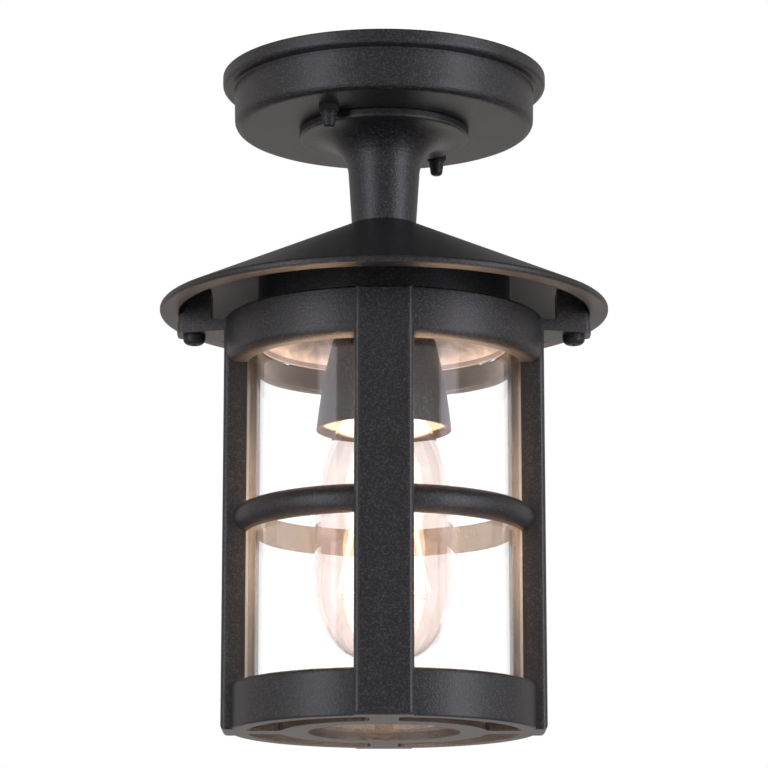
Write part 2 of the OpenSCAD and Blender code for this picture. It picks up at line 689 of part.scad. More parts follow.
ceiling_bracket();
bracket_studs();
stud_locknuts();
canopy();
cap_washer(-1);  // cap_washer_front
cap_washer(1);  // cap_washer_rear
cap_nut(-1);  // cap_nut_front
cap_nut(1);  // cap_nut_rear
terminal_block();
terminal_screws();
block_screw();
earth_screw();
earth_washer();
stem();
stem_gasket();
nipple();
nipple_nuts();
nipple_washers();
lead_live();
lead_neutral();
roof();
lamp_plate();
plate_screws();
glass_gasket();
shade();
shade_ring();
lampholder_body();
lampholder_shell();
lampholder_contact();
bulb_glass();
bulb_cap();
bulb_insulator();
bulb_contact();
bulb_stem();
filament_supports();
bulb_filament();
cage();
glass_cylinder();
glass_pads();
cage_screw(-1);  // cage_screw_left
cage_screw(1);  // cage_screw_right
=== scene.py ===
"""A lit porch ceiling lantern: a cast canopy, stem, roof and cage in textured black coat,
round a clear glass cylinder and a screw-in lamp. Metres, +Z up, front towards -Y."""
import json
import math

import bmesh
import bpy
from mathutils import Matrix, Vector


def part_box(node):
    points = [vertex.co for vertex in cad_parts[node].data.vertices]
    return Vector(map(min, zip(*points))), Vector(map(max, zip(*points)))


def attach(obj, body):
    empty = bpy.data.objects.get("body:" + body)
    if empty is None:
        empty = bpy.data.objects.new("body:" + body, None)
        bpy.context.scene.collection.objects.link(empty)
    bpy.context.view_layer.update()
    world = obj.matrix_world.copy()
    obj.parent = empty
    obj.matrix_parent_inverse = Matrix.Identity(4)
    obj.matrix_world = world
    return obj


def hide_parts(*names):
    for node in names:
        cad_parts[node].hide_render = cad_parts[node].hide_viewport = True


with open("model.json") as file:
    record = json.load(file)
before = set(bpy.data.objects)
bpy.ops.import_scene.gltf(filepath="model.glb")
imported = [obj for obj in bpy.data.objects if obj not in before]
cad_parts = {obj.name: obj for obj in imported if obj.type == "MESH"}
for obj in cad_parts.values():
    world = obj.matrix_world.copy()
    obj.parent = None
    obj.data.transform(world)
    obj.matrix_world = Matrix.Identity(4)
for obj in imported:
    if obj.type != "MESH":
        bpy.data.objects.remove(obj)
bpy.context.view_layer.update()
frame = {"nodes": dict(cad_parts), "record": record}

MM = 0.001

# ------------------------------------------------------------------ camera and stage
CAMERA_AWAY = 1.404
CAMERA_HEIGHT = -0.4375
CAMERA_TILT = 12.1
CAMERA_LENS = 157.1
FLOOR_LEVEL = -2.4
FLOOR_WIDTH = 16.0
# Name of a soft box, its turn from straight ahead in degrees, and its glare in watts a square metre
SOFT_BOXES = (("soft_box_left", -49, 7.4), ("soft_box_right", 57, 9.0))
BOX_AWAY = 1.95
BOX_COLOUR = (0.905, 0.89, 1.0)
# Nested panels of a soft box: width, height, level of the middle, and share of the glare
BOX_PANELS = ((0.58, 3.1, -0.55, 0.8), (0.5, 1.5, -0.05, 0.8), (0.42, 0.9, -0.05, 1.0))
CARD_PLACE = (0, 2.2, -0.78)
CARD_SIZE = (2.6, 1.0)
CARD_POWER = 2.6
CARD_COLOUR = (1.0, 0.94, 0.88)
# Where the glowing lamps stand, as shares of the filament's height
GLOW_SHARES = (0.2, 0.5, 0.8)
GLOW_POWER = 0.62
GLOW_COLOUR = (1.0, 0.65, 0.43)
GLOW_R = 0.022


def set_camera():
    """The camera stands 0.44 m under the ceiling and looks up at the lantern."""
    tilt = math.radians(CAMERA_TILT)
    place = (0, -CAMERA_AWAY, CAMERA_HEIGHT)
    bpy.ops.object.camera_add(location=place, rotation=(math.pi / 2 + tilt, 0, 0))
    camera = bpy.context.object
    camera.data.lens = CAMERA_LENS
    camera.data.clip_start = 0.05
    camera.data.clip_end = 60
    bpy.context.scene.camera = camera
    bpy.context.scene.view_settings.view_transform = "Standard"


# ------------------------------------------------------------------ shader maths
class Value:
    """A number from a node, which takes part in sums as a plain number does."""

    def __init__(self, finish, socket):
        self.finish = finish
        self.socket = socket

    def sum(self, operation, *terms):
        return self.finish.node("ShaderNodeMath", {"operation": operation}, dict(enumerate(terms)))

    def __add__(self, other):
        return self.sum("ADD", self, other)

    def __sub__(self, other):
        return self.sum("SUBTRACT", self, other)

    def __rsub__(self, other):
        return self.sum("SUBTRACT", other, self)

    def __mul__(self, other):
        return self.sum("MULTIPLY", self, other)

    def __pow__(self, other):
        return self.sum("POWER", self, other)

    __radd__ = __add__
    __rmul__ = __mul__


class Finish:
    """A material in the making, or the world's colour: its nodes and the links between them."""

    def __init__(self, name, owner=None):
        self.owner = owner or bpy.data.materials.new(name)
        self.owner.use_nodes = True
        self.tree = self.owner.node_tree
        self.tree.nodes.clear()

    def node(self, kind, settings=None, inputs=None, out=0):
        """Add a node, set it up, feed its sockets with numbers or values, and give an output."""
        made = self.tree.nodes.new(kind)
        for key, setting in (settings or {}).items():
            setattr(made, key, setting)
        for key, term in (inputs or {}).items():
            if isinstance(term, Value):
                self.tree.links.new(term.socket, made.inputs[key])
            else:
                made.inputs[key].default_value = term
        return Value(self, made.outputs[out])

    def place(self, stretch=(1, 1, 1)):
        """Where a point is on the piece, in metres, stretched along each axis."""
        point = self.node("ShaderNodeTexCoord", out="Object")
        if stretch == (1, 1, 1):
            return point
        return self.node("ShaderNodeMapping", {}, {"Vector": point, "Scale": stretch})

    def axis(self, letter):
        return self.node("ShaderNodeSeparateXYZ", {}, {"Vector": self.place()}, out=letter)

    def noise(self, size, detail, stretch=(1, 1, 1), warp=0.0):
        """Cloudy noise from 0 to 1 whose lumps are about size metres across."""
        inputs = {"Vector": self.place(stretch), "Scale": 1 / size, "Detail": detail, "Distortion": warp}
        return self.node("ShaderNodeTexNoise", {}, inputs)

    def cells(self, size):
        """Distance to the middle of the nearest of many cells, about size metres across."""
        inputs = {"Vector": self.place(), "Scale": 1 / size}
        return self.node("ShaderNodeTexVoronoi", {"feature": "F1"}, inputs, out="Distance")

    def between(self, value, low, high, start=0.0, end=1.0):
        """Value's stretch from low to high, brought to start to end and held there beyond."""
        inputs = {"Value": value, 1: low, 2: high, 3: start, 4: end}
        return self.node("ShaderNodeMapRange", {"interpolation_type": "SMOOTHSTEP"}, inputs)

    def mix(self, share, colour, other):
        """Two colours, or colour values, mixed by a share from 0 to 1."""
        pair = [c if isinstance(c, Value) else (*c, 1) for c in (colour, other)]
        inputs = {0: share, 6: pair[0], 7: pair[1]}
        return self.node("ShaderNodeMix", {"data_type": "RGBA"}, inputs, out=2)

    def bump(self, height, depth, strength):
        """A normal from a height of 0 to 1 that stands for depth metres."""
        return self.node("ShaderNodeBump", {}, {"Height": height, "Distance": depth, "Strength": strength})

    def shader(self, colour, roughness, normal=None, **sockets):
        """The main shader. Extra sockets are named with underscores for spaces."""
        inputs = {"Base Color": colour if isinstance(colour, Value) else (*colour, 1), "Roughness": roughness}
        if normal is not None:
            inputs["Normal"] = normal
        for key, term in sockets.items():
            inputs[key.replace("_", " ")] = term
        return self.node("ShaderNodeBsdfPrincipled", {}, inputs)

    def done(self, surface):
        """Link the finished surface to the output, and give the material or the world."""
        for_world = isinstance(self.owner, bpy.types.World)
        end = self.tree.nodes.new("ShaderNodeOutputWorld" if for_world else "ShaderNodeOutputMaterial")
        self.tree.links.new(surface.socket, end.inputs["Surface"])
        return self.owner


# ------------------------------------------------------------------ stage and lamps
def pale_floor():
    """Pale matt floor, which the camera sees nearly white."""
    f = Finish("pale_floor")
    cloud = f.noise(0.7, 3)
    camera = f.node("ShaderNodeLightPath", out="Is Camera Ray")
    lift = f.mix(camera, (0.0, 0.0, 0.0), (0.60, 0.59, 0.58))
    return f.done(f.shader(f.mix(cloud, (0.82, 0.79, 0.76), (0.88, 0.85, 0.82)), 0.6,
                           Emission_Color=lift, Emission_Strength=1.0))


def set_stage():
    bpy.ops.mesh.primitive_plane_add(size=FLOOR_WIDTH, location=(0, 0, FLOOR_LEVEL))
    floor = bpy.context.object
    floor.name = "floor"
    floor.data.materials.append(pale_floor())


def set_world():
    """White to the eye and through glass. What the lantern mirrors and is lit by is paler
    behind it than on the camera's side, under a dim ceiling."""
    world = bpy.data.worlds.new("studio")
    bpy.context.scene.world = world
    f = Finish("studio", world)
    camera, through = (f.node("ShaderNodeLightPath", out=name) for name in
                       ("Is Camera Ray", "Is Transmission Ray"))
    seen = f.node("ShaderNodeMath", {"operation": "MAXIMUM"}, {0: camera, 1: through})
    direction = f.node("ShaderNodeTexCoord", out="Generated")
    part = {axis: f.node("ShaderNodeSeparateXYZ", {}, {"Vector": direction}, out=axis) for axis in "YZ"}
    studio = f.between(part["Y"], -0.6, 0.35, 0.27, 0.42) * f.between(part["Z"], 0.2, 0.85, 1.0, 0.35)
    strength = camera + 1.2 * through + (1 - seen) * studio
    colour = f.mix(seen, (1.0, 0.955, 0.95), (1.0, 1.0, 1.0))
    f.done(f.node("ShaderNodeBackground", {}, {"Color": colour, "Strength": strength}))


def area_lamp(name, place, aim, size, power, colour):
    bpy.ops.object.light_add(type="AREA", location=place)
    lamp = bpy.context.object
    lamp.name = name
    lamp.rotation_mode = "QUATERNION"
    lamp.rotation_quaternion = (Vector(aim) - Vector(place)).to_track_quat("-Z", "Y")
    lamp.data.shape = "RECTANGLE"
    lamp.data.size, lamp.data.size_y = size
    lamp.data.energy = power
    lamp.data.color = colour
    return lamp


def set_lamps():
    """Two tall soft boxes at the front corners, a card low behind the lantern for its
    undersides, and the lamp's own glow inside its envelope."""
    for name, degrees, glare in SOFT_BOXES:
        turn = math.radians(degrees)
        side, ahead = BOX_AWAY * math.sin(turn), -BOX_AWAY * math.cos(turn)
        for width, height, up, share in BOX_PANELS:
            power = glare * share * width * height
            area_lamp(name, (side, ahead, up), (0, 0, up), (width, height), power, BOX_COLOUR)
    aim = (0, 0, CARD_PLACE[2])
    card = area_lamp("low_card", CARD_PLACE, aim, CARD_SIZE, CARD_POWER, CARD_COLOUR)
    card.visible_camera = card.visible_transmission = False
    low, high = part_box("bulb_filament")
    for share in GLOW_SHARES:
        bpy.ops.object.light_add(type="POINT", location=(0, 0, low.z + (high.z - low.z) * share))
        glow = bpy.context.object
        glow.name = "glow_%d" % round(10 * share)
        glow.data.energy = GLOW_POWER
        glow.data.color = GLOW_COLOUR
        glow.data.shadow_soft_size = GLOW_R
        glow.visible_camera = glow.visible_transmission = False


# ------------------------------------------------------------------ finishes
def level(node, end):
    """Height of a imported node's foot (0) or head (1)."""
    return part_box(node)[end].z


def powder(f, pale=1.0):
    """The castings' textured coat: its colour, roughness and normal. Pale scales its light grains."""
    grit = f.noise(0.8 * MM, 3.0)
    fleck = f.between(f.cells(1.1 * MM), 0.0, 0.35, 1.0, 0.0)
    cloud = f.noise(28 * MM, 3.0)
    coat = f.mix(cloud, (0.0050, 0.0048, 0.0050), (0.0085, 0.0082, 0.0088))
    coat = f.mix(f.between(grit, 0.49, 0.66) * pale, coat, (0.050, 0.048, 0.053))
    coat = f.mix(fleck * pale * 0.5, coat, (0.09, 0.09, 0.10))
    roughness = 0.27 + 0.16 * grit + 0.05 * cloud
    return coat, roughness, f.bump(grit, 0.19 * MM, 0.9)


def cast_black():
    """Fine-textured satin black powder coat over a casting."""
    f = Finish("cast_black")
    return f.done(f.shader(*powder(f), Specular_IOR_Level=1.0))


def cage_black():
    """The same coat, darker on the cage's inner faces near both of its ends, as painted shade."""
    f = Finish("cage_black")
    low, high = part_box("cage")
    x, y, z = (f.axis(letter) for letter in "XYZ")
    glass_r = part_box("glass_cylinder")[1].x
    # Painted shade: on the inner faces near the top and bottom most pale grains go, so the coat darkens
    # there.
    painted_inner_shade = f.between((x ** 2 + y ** 2) ** 0.5, glass_r + 3 * MM, glass_r + 4 * MM, 1.0, 0.0)
    from_middle = ((z - (low.z + high.z) / 2) ** 2) ** 0.5
    ends = f.between(from_middle, 30 * MM, 45 * MM) * f.between(z, low.z + 0.3 * MM, low.z + MM)
    return f.done(f.shader(*powder(f, 1 - 0.8 * painted_inner_shade * ends), Specular_IOR_Level=1.0))


def shade_black():
    """The castings' coat outside. Inside it is pale, where the lamp lights it, over a dark band
    of painted shade next to the rim."""
    f = Finish("shade_black")
    low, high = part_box("shade")
    grit = f.noise(0.8 * MM, 3.0)
    x, y, z = (f.axis(letter) for letter in "XYZ")
    radius = (x ** 2 + y ** 2) ** 0.5
    top_r = 22 * MM
    cone = top_r + (high.z - z) * ((high.x - top_r) / (high.z - low.z))
    inside = f.between(cone - radius, 0.3 * MM, 0.8 * MM)
    # Painted shade: a dark band on the inside next to the rim, under the pale wall.
    above_rim_shade = f.between(z + 0.6 * MM * grit, low.z + 3.3 * MM, low.z + 4.2 * MM)
    coat = f.mix(f.between(grit, 0.48, 0.68), (0.0055, 0.0050, 0.0050), (0.060, 0.054, 0.052))
    bump = f.bump(grit, 0.19 * MM, 0.9)
    outer = f.shader(coat, 0.38 + 0.16 * grit, bump, Specular_IOR_Level=0.35)
    rim_shade_colour = f.mix(grit, (0.004, 0.003, 0.0022), (0.014, 0.010, 0.007))
    inner = f.shader(f.mix(above_rim_shade, rim_shade_colour, (0.17, 0.165, 0.15)), 0.75 + 0.15 * grit, bump,
                     Specular_IOR_Level=0.1)
    return f.done(f.node("ShaderNodeMixShader", {}, {0: inside, 1: outer, 2: inner}))


def plate_grey():
    """The lamp plate: a thin coat, pale grey with light streaks, both of them painted reflection."""
    f = Finish("plate_grey")
    grit = f.noise(0.8 * MM, 3.0)
    # Painted reflection: light streaks and a pale grey tone on the plate.
    reflected_streaks = f.between(f.noise(9 * MM, 4, stretch=(1, 0.25, 1), warp=1.2), 0.45, 0.7)
    colour = f.mix(reflected_streaks * 0.8, (0.24, 0.25, 0.29), (0.50, 0.52, 0.58))
    colour = f.mix(grit * 0.3, colour, (0.40, 0.41, 0.46))
    return f.done(f.shader(colour, 0.36 + 0.2 * grit, f.bump(grit, 0.1 * MM, 0.8)))


def black_screw():
    """Black plated steel, smoother than the castings."""
    f = Finish("black_screw")
    wear = f.between(f.noise(0.9 * MM, 3), 0.45, 0.75)
    colour = f.mix(wear, (0.028, 0.028, 0.030), (0.075, 0.074, 0.076))
    roughness = 0.34 + 0.12 * f.noise(0.4 * MM, 2)
    return f.done(f.shader(colour, roughness, f.bump(f.noise(0.5 * MM, 2), 0.03 * MM, 0.6), Metallic=0.25))


def zinc_steel():
    """Bright zinc plate with a faint blue and straw bloom."""
    f = Finish("zinc_steel")
    bloom = f.noise(9 * MM, 3, warp=0.6)
    colour = f.mix(f.between(bloom, 0.35, 0.65), (0.55, 0.58, 0.63), (0.66, 0.63, 0.55))
    scratch = f.noise(0.5 * MM, 2, stretch=(1, 1, 0.1))
    roughness = 0.24 + 0.18 * scratch
    return f.done(f.shader(colour, roughness, f.bump(scratch, 0.02 * MM, 0.5), Metallic=1.0))


def brass():
    f = Finish("brass")
    tarnish = f.between(f.noise(3 * MM, 4, warp=0.4), 0.5, 0.75)
    colour = f.mix(tarnish, (0.78, 0.56, 0.22), (0.46, 0.30, 0.12))
    turned = f.noise(0.25 * MM, 1, stretch=(1, 1, 6))
    roughness = 0.22 + 0.2 * tarnish + 0.08 * turned
    return f.done(f.shader(colour, roughness, f.bump(turned, 0.015 * MM, 0.5), Metallic=1.0))


def nickel():
    f = Finish("nickel")
    haze = f.noise(4 * MM, 3)
    colour = f.mix(haze, (0.62, 0.60, 0.55), (0.72, 0.70, 0.66))
    rolled = f.noise(0.3 * MM, 2, stretch=(1, 1, 5))
    return f.done(f.shader(colour, 0.2 + 0.15 * haze, f.bump(rolled, 0.015 * MM, 0.5), Metallic=1.0))


def black_rubber():
    f = Finish("black_rubber")
    dust = f.between(f.noise(1.5 * MM, 4), 0.5, 0.8)
    colour = f.mix(dust, (0.012, 0.012, 0.012), (0.035, 0.034, 0.033))
    return f.done(f.shader(colour, 0.7 + 0.15 * dust, f.bump(f.noise(0.4 * MM, 3), 0.05 * MM, 0.8)))


def pale_silicone():
    f = Finish("pale_silicone")
    cloud = f.noise(5 * MM, 3)
    colour = f.mix(cloud, (0.20, 0.21, 0.25), (0.27, 0.28, 0.32))
    return f.done(f.shader(colour, 0.35 + 0.15 * cloud, f.bump(f.noise(0.8 * MM, 2), 0.03 * MM, 0.5),
                           Subsurface_Weight=0.35, Subsurface_Radius=(0.003, 0.002, 0.0015)))


def porcelain():
    f = Finish("porcelain")
    glaze = f.noise(7 * MM, 2)
    speck = f.between(f.cells(2.2 * MM), 0.0, 0.09, 1.0, 0.0)
    colour = f.mix(speck * 0.5, f.mix(glaze, (0.78, 0.75, 0.69), (0.84, 0.82, 0.77)), (0.42, 0.36, 0.28))
    return f.done(f.shader(colour, 0.16 + 0.12 * glaze, f.bump(glaze, 0.08 * MM, 0.4), Coat_Weight=0.5,
                           Coat_Roughness=0.08))


def white_nylon():
    f = Finish("white_nylon")
    grain = f.noise(0.6 * MM, 3)
    colour = f.mix(f.noise(6 * MM, 2), (0.76, 0.75, 0.70), (0.83, 0.82, 0.78))
    return f.done(f.shader(colour, 0.42 + 0.12 * grain, f.bump(grain, 0.03 * MM, 0.6)))


RIDGES_ROUND = 8
RIDGES_ALONG = 190


def sleeve(name, dark, light):
    """Woven glass sleeve over a lead: two crossing sets of fine ridges."""
    f = Finish(name)
    weave_map = f.node("ShaderNodeUVMap", {"uv_map": "weave"})
    u = RIDGES_ROUND * f.node("ShaderNodeSeparateXYZ", {}, {"Vector": weave_map}, out="X")
    v = RIDGES_ALONG * f.node("ShaderNodeSeparateXYZ", {}, {"Vector": weave_map}, out="Y")
    ridge = [f.node("ShaderNodeMath", {"operation": "SINE"}, {0: (u * sign + v) * math.tau})
             for sign in (1, -1)]
    weave = 0.5 + 0.25 * ridge[0] + 0.25 * ridge[1]
    return f.done(f.shader(f.mix(weave, dark, light), 0.75 - 0.15 * weave, f.bump(weave, 0.12 * MM, 0.8)))


def black_glass():
    f = Finish("black_glass")
    swirl = f.noise(2.5 * MM, 3, warp=1.0)
    return f.done(f.shader(f.mix(swirl, (0.004, 0.004, 0.006), (0.02, 0.018, 0.024)), 0.08 + 0.1 * swirl,
                           f.bump(swirl, 0.05 * MM, 0.4)))


def see_through(f, glass, tint):
    """Glass for the eye, plain tinted air for the lamps, so that light gets through it."""
    air = f.node("ShaderNodeBsdfTransparent", {}, {"Color": (*tint, 1)})
    lamps = f.node("ShaderNodeLightPath", out="Is Shadow Ray")
    return f.done(f.node("ShaderNodeMixShader", {}, {0: lamps, 1: glass, 2: air}))


def clear_glass():
    """The cylinder: drawn glass with very faint waves along its height."""
    f = Finish("clear_glass")
    wave = f.noise(14 * MM, 1, stretch=(1, 1, 0.15))
    film = f.noise(22 * MM, 4, warp=0.5)
    glass = f.shader(f.mix(film, (0.99, 0.995, 0.995), (1.0, 1.0, 1.0)), 0.004 + 0.012 * film,
                     f.bump(wave, 0.06 * MM, 0.35), Transmission_Weight=1.0, IOR=1.43)
    return see_through(f, glass, (0.93, 0.94, 0.93))


def lamp_glass():
    """The lamp's thin envelope, with a faint pink tint and streaks, and a painted glow: bright inside the
    shade, faint below it.
    """
    f = Finish("lamp_glass")
    streak = f.noise(3.5 * MM, 2, stretch=(1, 1, 0.06))
    wave = f.noise(16 * MM, 2, warp=0.8)
    tint = f.mix(streak * 0.6 + wave * 0.4, (0.90, 0.81, 0.775), (0.96, 0.90, 0.88))
    shade_foot = level("shade", 0)
    # Painted glow: the glass shines cream from the shade's foot up, and faintly below it.
    neck = f.between(f.axis("Z"), shade_foot - 0.8 * MM, shade_foot + 0.6 * MM)
    glow = f.mix(neck, (0.009, 0.007, 0.006), (1.0, 0.84, 0.64))
    glass = f.shader(tint, 0.004 + 0.03 * wave, f.bump(wave, 0.15 * MM, 0.35), Transmission_Weight=1.0,
                     IOR=1.46, Emission_Color=glow, Emission_Strength=0.9)
    made = see_through(f, glass, (0.97, 0.96, 0.94))
    made.cycles.emission_sampling = "NONE"
    return made


def hot_filament():
    f = Finish("glowing_filament")
    along = f.between(f.noise(6 * MM, 2), 0.3, 0.7)
    colour = f.mix(along, (1.0, 0.90, 0.80), (1.0, 0.96, 0.92))
    made = f.done(f.shader((0.9, 0.6, 0.3), 0.5, Emission_Color=colour, Emission_Strength=1.0))
    made.cycles.emission_sampling = "NONE"
    return made


FINISHES = {
    "cast_black": cast_black(),
    "cage_black": cage_black(),
    "shade_black": shade_black(),
    "plate_grey": plate_grey(),
    "black_screw": black_screw(),
    "zinc_steel": zinc_steel(),
    "brass": brass(),
    "nickel": nickel(),
    "black_rubber": black_rubber(),
    "pale_silicone": pale_silicone(),
    "porcelain": porcelain(),
    "white_nylon": white_nylon(),
    "live_lead": sleeve("live_lead", (0.09, 0.035, 0.012), (0.22, 0.10, 0.04)),
    "neutral_lead": sleeve("neutral_lead", (0.02, 0.05, 0.16), (0.07, 0.14, 0.34)),
    "black_glass": black_glass(),
    "clear_glass": clear_glass(),
    "lamp_glass": lamp_glass(),
    "glowing_filament": hot_filament(),
}


# ------------------------------------------------------------------ modelling by hand
FINE = 1e-6
# Edges that turn by more than this stay sharp
CREASE = math.radians(32)


def deselect():
    if bpy.context.object and bpy.context.object.mode == "EDIT":
        bpy.ops.object.mode_set(mode="OBJECT")
    bpy.ops.object.select_all(action="DESELECT")


def take(piece):
    """Make a piece the only one selected, and active."""
    deselect()
    piece.select_set(True)
    bpy.context.view_layer.objects.active = piece


def pick(piece, kind, wanted):
    """Enter edit mode with those edges or faces selected whose middle is wanted."""
    take(piece)
    bpy.ops.object.mode_set(mode="EDIT")
    bpy.ops.mesh.select_mode(type=kind)
    bpy.ops.mesh.select_all(action="DESELECT")
    mesh = bmesh.from_edit_mesh(piece.data)
    for item in {"EDGE": mesh.edges, "FACE": mesh.faces}[kind]:
        middle = sum((corner.co for corner in item.verts), Vector()) / len(item.verts)
        item.select_set(wanted(middle))
    mesh.select_flush_mode()
    bmesh.update_edit_mesh(piece.data)


def fix(piece, modifier):
    take(piece)
    bpy.ops.object.modifier_apply(modifier=modifier.name)


def bow(middle, radius, start, end, count):
    """Points (radius, height) of an arc round a middle, in degrees."""
    turns = [math.radians(start + (end - start) * i / count) for i in range(count + 1)]
    return [(middle[0] + radius * math.cos(a), middle[1] + radius * math.sin(a)) for a in turns]


def line_of_edges(name, outline, closed):
    """A vertex extruded along an outline of (radius, height), ready in edit mode."""
    deselect()
    bpy.ops.mesh.primitive_plane_add(size=MM)
    piece = bpy.context.object
    piece.name = name
    bpy.ops.object.mode_set(mode="EDIT")
    bpy.ops.mesh.select_mode(type="VERT")
    bpy.ops.mesh.select_all(action="SELECT")
    bpy.ops.mesh.merge(type="CENTER")
    spots = [Vector((radius, 0, height)) for radius, height in outline]
    bpy.ops.transform.translate(value=spots[0])
    for here, there in zip(spots, spots[1:] + spots[:1] * closed):
        bpy.ops.mesh.extrude_region_move(TRANSFORM_OT_translate={"value": there - here})
    bpy.ops.mesh.select_all(action="SELECT")
    bpy.ops.mesh.remove_doubles(threshold=FINE)
    return piece


def sealed(piece):
    """Merge what meets, drop loose ends, turn the normals outwards and shade curves smooth."""
    bpy.ops.mesh.select_all(action="SELECT")
    bpy.ops.mesh.remove_doubles(threshold=FINE)
    bpy.ops.mesh.delete_loose()
    bpy.ops.mesh.select_all(action="SELECT")
    bpy.ops.mesh.normals_make_consistent(inside=False)
    take(piece)
    bpy.ops.object.shade_smooth_by_angle(angle=CREASE)
    return piece


def turned(name, outline, steps, closed=True):
    """Turn an outline of (radius, height) round the vertical axis."""
    piece = line_of_edges(name, outline, closed)
    bpy.ops.mesh.spin(steps=steps, angle=math.tau, center=(0, 0, 0), axis=(0, 0, 1))
    return sealed(piece)


def wave_profile(crest, root, pitch, count=12):
    """One pitch of a rolled thread, as (radius, height)."""
    half = (crest - root) / 2
    return [(crest - half + half * math.cos(math.tau * i / count), pitch * i / count)
            for i in range(count + 1)]


def sharp_profile(crest, root, pitch):
    """One pitch of a machine screw's thread, as (radius, height)."""
    return [(crest, 0), (crest, 0.12 * pitch), (root, 0.44 * pitch), (root, 0.68 * pitch), (crest, pitch)]


def threaded(name, profile, low, high, steps):
    """Screw a profile round the axis, right-handed, and cut it off square at both ends."""
    pitch = profile[-1][1] - profile[0][1]
    start = low - 2 * pitch
    piece = line_of_edges(name, [(radius, start + height) for radius, height in profile], False)
    take(piece)
    helix = piece.modifiers.new("helix", "SCREW")
    helix.angle, helix.screw_offset, helix.steps, helix.render_steps = math.tau, pitch, steps, steps
    helix.iterations = math.ceil((high - low) / pitch) + 3
    helix.use_merge_vertices, helix.merge_threshold = True, FINE
    fix(piece, helix)
    bpy.ops.object.mode_set(mode="EDIT")
    for height, below in ((low, True), (high, False)):
        bpy.ops.mesh.select_all(action="SELECT")
        bpy.ops.mesh.bisect(plane_co=(0, 0, height), plane_no=(0, 0, 1), threshold=FINE, use_fill=True,
                            clear_inner=below, clear_outer=not below)
    return sealed(piece)


def copied(piece, name):
    """A second piece with a mesh of its own."""
    take(piece)
    bpy.ops.object.duplicate(linked=False)
    bpy.context.object.name = name
    return bpy.context.object


def moved(piece, place, turn):
    """Turn a piece by degrees and put it somewhere else, with both kept in its mesh."""
    take(piece)
    bpy.ops.transform.rotate(value=-math.radians(turn), orient_axis="Z", center_override=(0, 0, 0))
    bpy.ops.transform.translate(value=place)
    bpy.ops.object.transform_apply(location=True, rotation=True, scale=True)
    return piece


def joined(name, pieces):
    deselect()
    for piece in pieces:
        piece.select_set(True)
    bpy.context.view_layer.objects.active = pieces[0]
    bpy.ops.object.join()
    pieces[0].name = name
    return pieces[0]


def fitted(piece, body, slot, finish, *nodes):
    """Finish a new piece: its material, the body it rides on and the nodes it stands for."""
    take(piece)
    bpy.ops.object.transform_apply(location=True, rotation=True, scale=True)
    piece.data.materials.clear()
    piece.data.materials.append(FINISHES[finish])
    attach(piece, body)
    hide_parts(*nodes)


# ------------------------------------------------------------------ lamp and lampholder
LAMP_PITCH = 3.62 * MM
SHELL_WALL = 0.3 * MM


def rolled_shell(name, crest, root, low, high):
    """A thin shell with the lamp's rolled thread: the threaded surface, given its wall."""
    shell = threaded(name, wave_profile(crest, root, LAMP_PITCH), low, high, 72)
    pick(shell, "FACE", lambda at: min(abs(at.z - low), abs(at.z - high)) < FINE)
    bpy.ops.mesh.delete(type="ONLY_FACE")
    take(shell)
    wall = shell.modifiers.new("wall", "SOLIDIFY")
    wall.thickness, wall.offset = SHELL_WALL, -1
    fix(shell, wall)
    return shell


def lamp_cap():
    """Rolled screw shell with a flared foot and a shoulder up to the dark insulator."""
    foot, head = level("bulb_cap", 0), level("bulb_cap", 1)
    radius, low, high = 13.2 * MM, foot + 2.6 * MM, head - 4.2 * MM
    mid, inside = radius - 0.3 * MM, radius - 0.9 * MM
    flare = [(mid, low + 0.4 * MM), (radius, low - 0.6 * MM), (radius + 0.6 * MM, foot + 0.8 * MM),
             (radius + 0.6 * MM, foot), (inside + 0.3 * MM, foot), (inside, low - 0.6 * MM),
             (inside, low + 0.4 * MM)]
    dome = [(mid, high - 0.4 * MM)] + bow((mid - 2.6 * MM, high + 0.2 * MM), 2.6 * MM, 0, 60, 6)
    dome += [(9 * MM, head), (9 * MM, head - 0.5 * MM)] + bow((inside - 2.3 * MM, high), 2.3 * MM, 60, 0, 6)
    dome += [(inside, high - 0.4 * MM)]
    pieces = [rolled_shell("rolled_lamp_cap", radius, radius - 0.6 * MM, low, high),
              turned("flare", flare, 72), turned("dome", dome, 72)]
    fitted(joined("rolled_lamp_cap", pieces), "lamp", "nickel", "nickel", "bulb_cap")


def holder_shell():
    """Rolled shell inside the porcelain, with the same thread as the lamp's cap."""
    low, high = level("lampholder_shell", 0), level("lampholder_shell", 1)
    shell = rolled_shell("rolled_holder_shell", 14.3 * MM, 13.7 * MM, low, high)
    fitted(shell, "lantern_head", "nickel", "nickel", "lampholder_shell")


def envelope_radius(height, neck, belly, tip):
    """Radius of the lamp's envelope: a shoulder under the neck and a full round end."""
    neck_r, belly_r = 15 * MM, 29.5 * MM
    if height > belly:
        return neck_r + (belly_r - neck_r) * (1 - (1 - (neck - height) / (neck - belly)) ** 4)
    return belly_r * max(0.0, 1 - ((belly - height) / (belly - tip)) ** 2.5) ** 0.4


